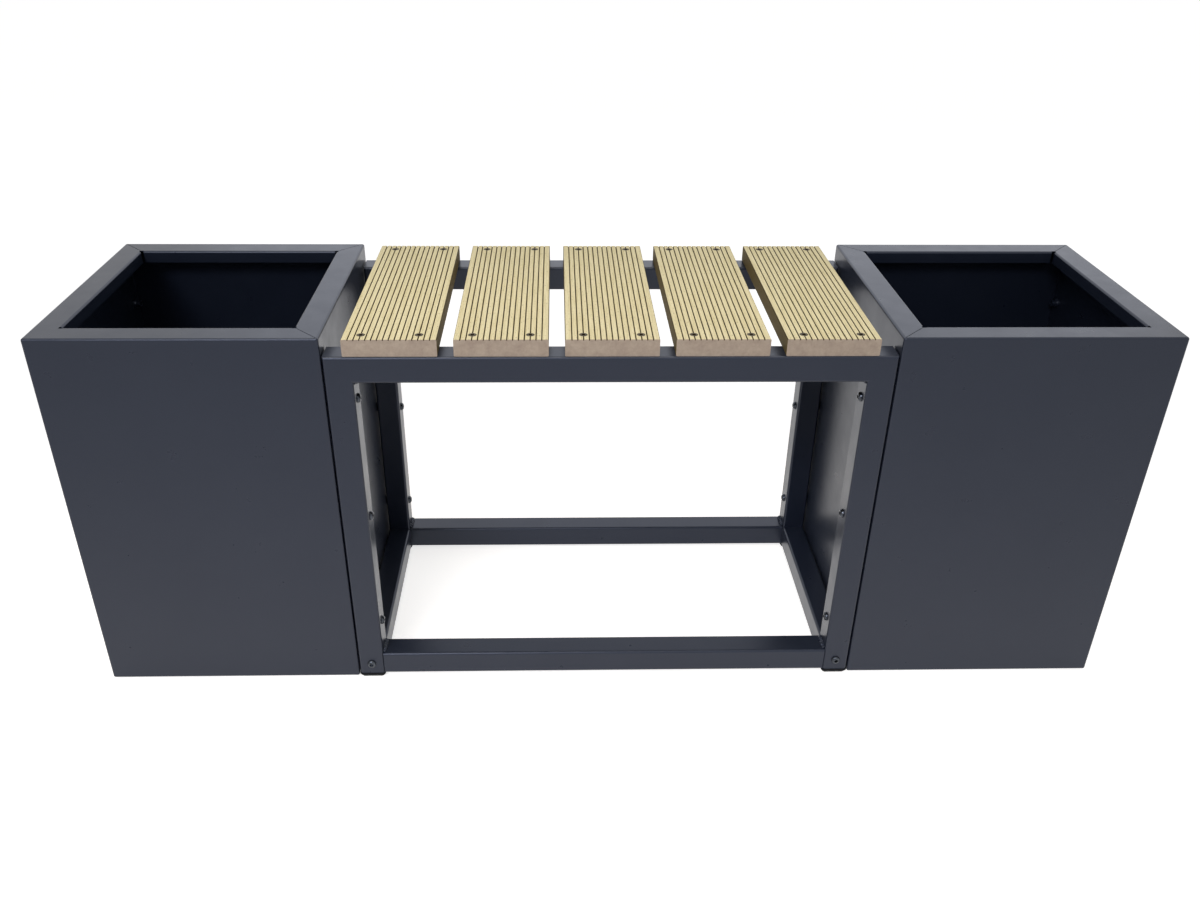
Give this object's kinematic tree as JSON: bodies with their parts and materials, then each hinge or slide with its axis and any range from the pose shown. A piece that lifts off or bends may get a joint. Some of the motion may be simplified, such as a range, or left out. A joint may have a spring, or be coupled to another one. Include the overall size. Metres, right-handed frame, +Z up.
{
  "type": "bench with planter",
  "caption": "Backless park bench: grooved cross boards on a square steel tube frame, bolted between two square folded steel planter boxes with inward rims.",
  "frame": {"origin": "on the ground under the centre of the bench", "axes": "+X along the bench, +Y from front to back, +Z up"},
  "size_m": [1.2048, 0.3066, 0.452],
  "materials": {
    "powder_coat": "semi-gloss anthracite powder coat on steel",
    "composite_board": "brushed wood-plastic composite, pale straw, brown in the grooves",
    "foot_plastic": "moulded black polyethylene",
    "bolt_steel": "dark zinc-plated button heads",
    "screw_steel": "dark coated countersunk screws",
    "bare_steel": "plain milled steel"
  },
  "bodies": {
    "root": {"front_left_upright": "powder_coat", "front_left_foot": "foot_plastic", "rear_left_upright": "powder_coat", "rear_left_foot": "foot_plastic", "left_side_rail": "powder_coat", "left_planter_shell": "powder_coat", "left_planter_floor": "powder_coat", "left_end_wall_inserts": "powder_coat", "left_frame_wall_inserts": "powder_coat", "front_right_upright": "powder_coat", "front_right_foot": "foot_plastic", "rear_right_upright": "powder_coat", "rear_right_foot": "foot_plastic", "right_side_rail": "powder_coat", "right_planter_shell": "powder_coat", "right_planter_floor": "powder_coat", "right_end_wall_inserts": "powder_coat", "right_frame_wall_inserts": "powder_coat", "front_top_rail": "powder_coat", "front_low_rail": "powder_coat", "rear_top_rail": "powder_coat", "rear_low_rail": "powder_coat", "side_rail_end_blocks": "bare_steel", "weld_beads": "powder_coat", "seat_board_1": "composite_board", "seat_board_2": "composite_board", "seat_board_3": "composite_board", "seat_board_4": "composite_board", "seat_board_5": "composite_board", "board_screws": "screw_steel", "planter_bolts": "bolt_steel", "corner_bolts": "bolt_steel"}
  },
  "joints": []
}
